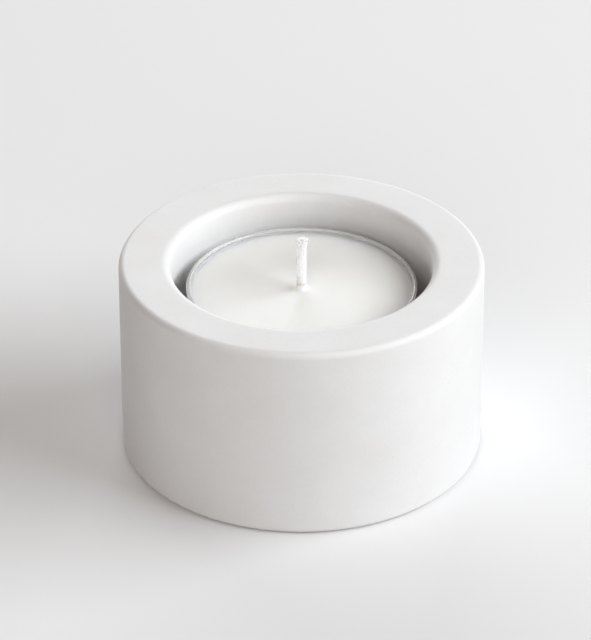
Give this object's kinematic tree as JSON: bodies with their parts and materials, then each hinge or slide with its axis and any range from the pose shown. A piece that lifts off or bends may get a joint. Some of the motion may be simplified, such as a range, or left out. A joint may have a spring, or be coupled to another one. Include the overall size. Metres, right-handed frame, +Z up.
{
  "type": "candle holder",
  "caption": "Low round candle holder cast in pale concrete, with a deep recess that holds a clear-cup tealight. The tealight lifts out, and the foot stands on a felt pad.",
  "frame": {"origin": "centre of the foot, on the supporting surface", "axes": "+Z up along the axis of the round body; +X and +Y are level and free to choose, because the body is round"},
  "size_m": [0.06, 0.06, 0.0379],
  "materials": {
    "concrete": "smooth cast, matt",
    "felt": "pressed felt",
    "clear_polycarbonate": "clear, glossy",
    "wax": "smooth poured wax",
    "cotton": "braided",
    "tinned_steel": "pressed sheet"
  },
  "bodies": {
    "holder": {"holder_body": "concrete", "base_pad": "felt"},
    "tealight": {"tealight_cup": "clear_polycarbonate", "wax_fill": "wax", "wick": "cotton", "wick_sustainer": "tinned_steel"}
  },
  "joints": [
    {"name": "tealight_lift", "type": "slide", "parent": "holder", "child": "tealight", "axis": [0, 0, 1], "range_m": [0, 0.03]}
  ]
}
